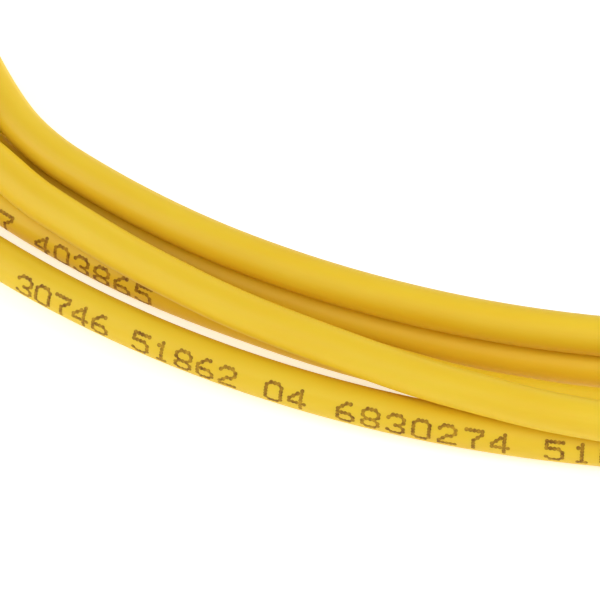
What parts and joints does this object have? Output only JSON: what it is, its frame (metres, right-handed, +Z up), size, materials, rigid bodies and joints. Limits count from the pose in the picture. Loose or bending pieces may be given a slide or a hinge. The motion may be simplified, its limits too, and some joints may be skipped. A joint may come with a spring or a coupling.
{
  "type": "fiber optic patch cord",
  "caption": "Fiber optic patch cord with a yellow jacket, wound in a flat coil and tied, with a push-pull plug, boot and dust cap on each end.",
  "frame": {"origin": "on the surface that the cord rests on, in the middle of the box round the plugs and the ties", "axes": "+Z up, square to the coil. The plugs are on the +X side, with their keys up, and the coil's front is on the -Y side"},
  "size_m": [0.1982, 0.1879, 0.0082],
  "materials": {
    "jacket_yellow": "smooth PVC with a soft sheen, printed in dark brown",
    "tie_white": "flat plastic ribbon over a wire",
    "boot_blue": "soft moulded, slightly matte",
    "grip_blue": "moulded, satin",
    "frame_white": "moulded, satin",
    "crimp_brass": "plated and crimped",
    "turned_steel": "turned, nickel plated",
    "spring_steel": "drawn wire",
    "aramid": "loose yarn",
    "clear_tube": "translucent",
    "fiber_buffer": "smooth",
    "ceramic_white": "polished zirconia",
    "cap_clear": "translucent, moulded"
  },
  "bodies": {
    "cord": {"cable_coil": "jacket_yellow", "cable_tail_a": "jacket_yellow", "cable_tail_b": "jacket_yellow", "tie_left": "tie_white", "tie_right": "tie_white", "boot_a": "boot_blue", "crimp_sleeve_a": "crimp_brass", "aramid_yarn_a": "aramid", "stop_ring_a": "turned_steel", "guide_tube_a": "clear_tube", "buffered_fiber_a": "fiber_buffer", "plug_frame_a": "frame_white", "spring_a": "spring_steel", "boot_b": "boot_blue", "crimp_sleeve_b": "crimp_brass", "aramid_yarn_b": "aramid", "stop_ring_b": "turned_steel", "guide_tube_b": "clear_tube", "buffered_fiber_b": "fiber_buffer", "plug_frame_b": "frame_white", "spring_b": "spring_steel"},
    "grip_a": {"grip_a": "grip_blue"},
    "ferrule_a": {"ferrule_flange_a": "turned_steel", "ferrule_a": "ceramic_white"},
    "cap_a": {"dust_cap_a": "cap_clear"},
    "grip_b": {"grip_b": "grip_blue"},
    "ferrule_b": {"ferrule_flange_b": "turned_steel", "ferrule_b": "ceramic_white"},
    "cap_b": {"dust_cap_b": "cap_clear"}
  },
  "joints": [
    {"name": "grip_slide_a", "type": "slide", "parent": "cord", "child": "grip_a", "axis": [0.8387, -0.5446, 0], "range_m": [-0.002, 0]},
    {"name": "ferrule_slide_a", "type": "slide", "parent": "cord", "child": "ferrule_a", "axis": [0.8387, -0.5446, 0], "range_m": [-0.0015, 0], "stiffness_N_per_m": 2000, "springref_m": 0.004, "deforming": ["spring_a"]},
    {"name": "cap_pull_a", "type": "slide", "parent": "ferrule_a", "child": "cap_a", "axis": [0.8387, -0.5446, 0], "range_m": [0, 0.012]},
    {"name": "grip_slide_b", "type": "slide", "parent": "cord", "child": "grip_b", "axis": [0.9135, 0.4067, 0], "range_m": [-0.002, 0]},
    {"name": "ferrule_slide_b", "type": "slide", "parent": "cord", "child": "ferrule_b", "axis": [0.9135, 0.4067, 0], "range_m": [-0.0015, 0], "stiffness_N_per_m": 2000, "springref_m": 0.004, "deforming": ["spring_b"]},
    {"name": "cap_pull_b", "type": "slide", "parent": "ferrule_b", "child": "cap_b", "axis": [0.9135, 0.4067, 0], "range_m": [0, 0.012]}
  ]
}
